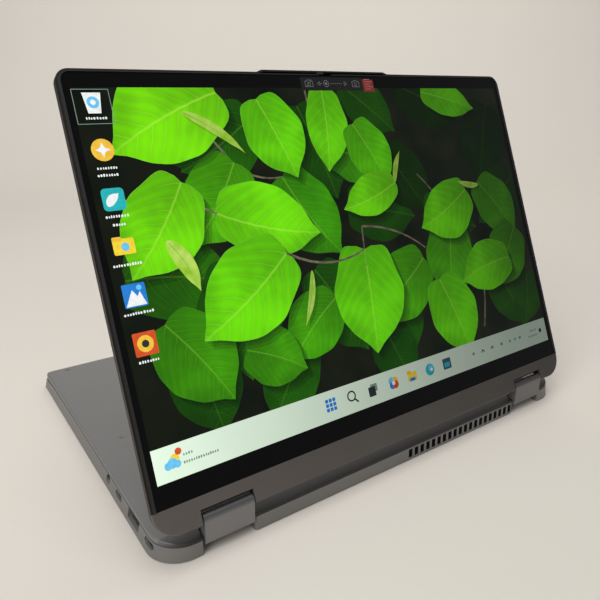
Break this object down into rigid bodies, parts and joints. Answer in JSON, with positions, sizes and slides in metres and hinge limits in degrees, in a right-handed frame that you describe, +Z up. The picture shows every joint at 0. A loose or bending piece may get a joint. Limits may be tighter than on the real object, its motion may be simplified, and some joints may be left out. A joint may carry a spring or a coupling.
{
  "type": "convertible laptop computer",
  "caption": "Convertible laptop standing in stand mode on its keyboard face, with a touch screen on step hinges, keyboard, touchpad, ports, fan and battery.",
  "frame": {"origin": "centre of the bounding box on the table plane, base lying upside down", "axes": "+X along the hinge to the right of a viewer facing the screen, +Y from the screen side towards the free edge of the base, +Z up"},
  "size_m": [0.313, 0.2253, 0.2248],
  "materials": {
    "body_grey": "satin anodised, warm grey",
    "cover_grey": "satin anodised, warm grey",
    "hinge_grey": "satin",
    "chin_grey": "fine satin",
    "screen_glass": "polished",
    "panel": "lit picture area",
    "seal_rubber": "matt",
    "key_plastic": "fine matt",
    "inner_steel": "plain",
    "port_steel": "plated",
    "board_green": "solder mask",
    "board_black": "moulded",
    "copper": "plain copper",
    "battery_film": "wrapped cells",
    "screw_steel": "machined",
    "label_film": "thin printed film",
    "tab_red": "thin printed film"
  },
  "bodies": {
    "base": {"keyboard_deck": "body_grey", "bottom_cover": "cover_grey", "rubber_feet": "seal_rubber", "bottom_screws": "screw_steel", "key_grid": "body_grey", "keyboard_plate": "inner_steel", "motherboard": "board_green", "heat_pipe": "copper", "heatsink_fins": "copper", "fan_housing": "board_black", "battery_cells": "battery_film", "battery_frame": "board_black", "hdmi_port": "port_steel", "audio_jack": "board_black", "card_reader": "port_steel", "ssd": "board_green", "wifi_card": "board_green", "io_board": "board_green", "board_ribbon": "label_film", "cold_plate": "copper", "usb_c_ports": "port_steel", "usb_a_ports": "port_steel", "speaker_right": "board_black", "speaker_left": "board_black", "base_hinge_right": "inner_steel", "base_hinge_left": "inner_steel"},
    "hinge_links": {"hinge_block_right": "hinge_grey", "hinge_block_left": "hinge_grey"},
    "lid": {"lid_back_cover": "body_grey", "chin_strip": "chin_grey", "display_glass": "screen_glass", "rim_gasket": "seal_rubber", "lcd_panel": "panel", "camera_module": "board_green", "mic_board": "board_green", "antennas": "copper", "lid_magnets": "inner_steel", "display_cable": "label_film", "lid_hinge_right": "inner_steel", "lid_hinge_left": "inner_steel", "camera_label": "label_film", "label_tab": "tab_red"},
    "key_row_1": {"key_row_1": "key_plastic"},
    "key_row_2": {"key_row_2": "key_plastic"},
    "key_row_3": {"key_row_3": "key_plastic"},
    "key_row_4": {"key_row_4": "key_plastic"},
    "key_row_5": {"key_row_5": "key_plastic"},
    "key_row_6": {"key_row_6": "key_plastic"},
    "space_bar": {"space_bar": "key_plastic"},
    "fan_rotor": {"fan_rotor": "board_black"},
    "touchpad": {"touchpad": "body_grey"},
    "power_button": {"power_button": "hinge_grey"},
    "privacy_shutter": {"privacy_shutter": "board_black"}
  },
  "joints": [
    {"name": "base_pivot", "type": "hinge", "parent": "base", "child": "hinge_links", "pos_m": [0, -0.10995, 0.008], "axis": [-1, 0, 0], "range_deg": [-180, 0]},
    {"name": "lid_pivot", "type": "hinge", "parent": "hinge_links", "child": "lid", "pos_m": [0, -0.10995, 0.0194], "axis": [-1, 0, 0], "range_deg": [-113, 67]},
    {"name": "fan_spin", "type": "hinge", "parent": "base", "child": "fan_rotor", "pos_m": [0.05, -0.06215, 0.007], "axis": [0, 0, 1], "continuous": true},
    {"name": "touchpad_click", "type": "hinge", "parent": "base", "child": "touchpad", "pos_m": [0, 0.02585, 0.0014], "axis": [1, 0, 0], "range_deg": [0, 0.45], "stiffness_Nm_per_rad": 5, "springref_deg": -0.23},
    {"name": "power_press", "type": "slide", "parent": "base", "child": "power_button", "axis": [-1, 0, 0], "range_m": [0, 0.0006], "stiffness_N_per_m": 1500, "springref_m": -0.0004},
    {"name": "shutter_slide", "type": "slide", "parent": "lid", "child": "privacy_shutter", "axis": [1, 0, 0], "range_m": [0, 0.0058]},
    {"name": "key_row_1_press", "type": "slide", "parent": "base", "child": "key_row_1", "axis": [0, 0, 1], "range_m": [0, 0.0013], "stiffness_N_per_m": 460, "springref_m": -0.0005},
    {"name": "key_row_2_press", "type": "slide", "parent": "base", "child": "key_row_2", "axis": [0, 0, 1], "range_m": [0, 0.0013], "stiffness_N_per_m": 460, "springref_m": -0.0005},
    {"name": "key_row_3_press", "type": "slide", "parent": "base", "child": "key_row_3", "axis": [0, 0, 1], "range_m": [0, 0.0013], "stiffness_N_per_m": 460, "springref_m": -0.0005},
    {"name": "key_row_4_press", "type": "slide", "parent": "base", "child": "key_row_4", "axis": [0, 0, 1], "range_m": [0, 0.0013], "stiffness_N_per_m": 460, "springref_m": -0.0005},
    {"name": "key_row_5_press", "type": "slide", "parent": "base", "child": "key_row_5", "axis": [0, 0, 1], "range_m": [0, 0.0013], "stiffness_N_per_m": 460, "springref_m": -0.0005},
    {"name": "key_row_6_press", "type": "slide", "parent": "base", "child": "key_row_6", "axis": [0, 0, 1], "range_m": [0, 0.0013], "stiffness_N_per_m": 460, "springref_m": -0.0005},
    {"name": "space_bar_press", "type": "slide", "parent": "base", "child": "space_bar", "axis": [0, 0, 1], "range_m": [0, 0.0013], "stiffness_N_per_m": 460, "springref_m": -0.0005}
  ]
}
